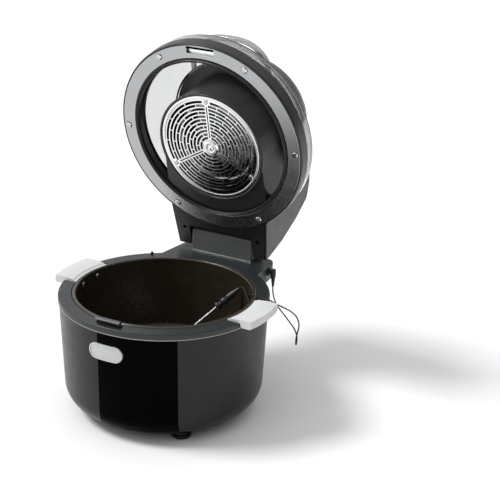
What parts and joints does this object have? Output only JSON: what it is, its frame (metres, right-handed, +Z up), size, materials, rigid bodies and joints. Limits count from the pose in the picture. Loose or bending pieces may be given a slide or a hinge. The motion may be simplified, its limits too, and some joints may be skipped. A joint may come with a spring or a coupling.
{
  "type": "hot-air fryer and multicooker",
  "caption": "Countertop fryer: round drum base with a lift-out pot, side grips and a wired food probe, and a hinged glass lid with fan, coil and strap handle, shown open.",
  "frame": {"origin": "on the table under the middle of the whole object's box, lid open", "axes": "+Z up, front with the button and panel faces -Y, hinge axis along X at the rear"},
  "size_m": [0.354, 0.4651, 0.5534],
  "materials": {
    "satin_black": "satin",
    "deck_slate": "fine satin",
    "gloss_black": "polished",
    "inner_black": "matt",
    "silver_plastic": "satin metallic coat",
    "steel": "brushed",
    "chrome": "polished",
    "aluminium": "cast",
    "non_stick": "dark non-stick coat",
    "grey_grip": "matt silicone",
    "grey_plate": "satin",
    "rubber": "matt",
    "circuit_board": "lacquered",
    "smoked_glass": "clear"
  },
  "bodies": {
    "base": {"base_shell": "satin_black", "bottom_cover": "inner_black", "deck": "deck_slate", "shelf_cover": "satin_black", "trim_ring": "chrome", "control_panel": "gloss_black", "inner_liner": "aluminium", "heating_plate": "aluminium", "control_board": "circuit_board", "power_board": "circuit_board", "power_inlet": "inner_black", "probe_socket": "inner_black", "hinge_cover": "grey_plate", "hinge_bracket": "steel", "hinge_pin_left": "steel", "hinge_pin_right": "steel", "hinge_spring_left": "steel", "hinge_spring_right": "steel", "button_spring": "steel", "sensor_spring": "steel", "foot_front_left": "rubber", "foot_front_right": "rubber", "foot_rear_left": "rubber", "foot_rear_right": "rubber", "probe_cable_middle": "rubber", "probe_cable_outer": "rubber"},
    "button": {"release_button": "silver_plastic"},
    "latch": {"latch_hook": "inner_black"},
    "lid_switch": {"lid_switch_pin": "inner_black"},
    "sensor": {"sensor_puck": "aluminium"},
    "pot": {"pot": "non_stick", "pot_handle_left": "grey_grip", "pot_handle_right": "grey_grip", "probe_cable_inner": "rubber"},
    "probe": {"probe_needle": "steel", "probe_handle": "inner_black"},
    "plug": {"probe_plug": "inner_black"},
    "lid": {"lid_ring": "steel", "lid_frame": "satin_black", "lid_gasket": "rubber", "lid_glass": "smoked_glass", "top_housing": "satin_black", "lid_handle": "silver_plastic", "fan_housing": "inner_black", "grille": "chrome", "heater_coil": "steel", "fan_motor": "aluminium", "lid_screw_1": "chrome", "lid_screw_2": "chrome", "lid_screw_3": "chrome", "lid_screw_4": "chrome", "lid_screw_5": "chrome", "lid_screw_6": "chrome", "grille_screw_1": "chrome", "grille_screw_2": "chrome", "grille_screw_3": "chrome"},
    "fan": {"motor_shaft": "steel", "impeller": "aluminium", "cooling_fan": "inner_black"}
  },
  "joints": [
    {"name": "lid_hinge", "type": "hinge", "parent": "base", "child": "lid", "pos_m": [0, 0.1179, 0.2102], "axis": [1, 0, 0], "range_deg": [0, 77.2], "stiffness_Nm_per_rad": 2.3, "springref_deg": -51.57, "deforming": ["hinge_spring_left", "hinge_spring_right"]},
    {"name": "button_press", "type": "slide", "parent": "base", "child": "button", "axis": [0, 1, 0], "range_m": [0, 0.003], "stiffness_N_per_m": 800, "deforming": ["button_spring"]},
    {"name": "latch_slide", "type": "slide", "parent": "base", "child": "latch", "axis": [0, 1, 0], "range_m": [0, 0.0025]},
    {"name": "lid_switch_press", "type": "slide", "parent": "base", "child": "lid_switch", "axis": [0, 0, -1], "range_m": [0, 0.003], "stiffness_N_per_m": 300},
    {"name": "sensor_press", "type": "slide", "parent": "base", "child": "sensor", "axis": [0, 0, -1], "range_m": [0, 0.003], "stiffness_N_per_m": 600, "deforming": ["sensor_spring"]},
    {"name": "pot_lift", "type": "slide", "parent": "base", "child": "pot", "axis": [0, 0, -1], "range_m": [-0.145, 0], "deforming": ["probe_cable_middle"]},
    {"name": "probe_lift", "type": "slide", "parent": "pot", "child": "probe", "axis": [0, 0, -1], "range_m": [-0.14, 0], "deforming": ["probe_cable_inner"]},
    {"name": "probe_unplug", "type": "slide", "parent": "base", "child": "plug", "axis": [1, 0, 0], "range_m": [0, 0.016], "deforming": ["probe_cable_outer"]},
    {"name": "fan_spin", "type": "hinge", "parent": "lid", "child": "fan", "pos_m": [0, 0.10449, 0.38702], "axis": [0, 0.9751, 0.2215], "continuous": true}
  ],
  "couplings": [
    {"joint": "latch_slide", "follows": "button_press", "ratio": 0.8}
  ]
}
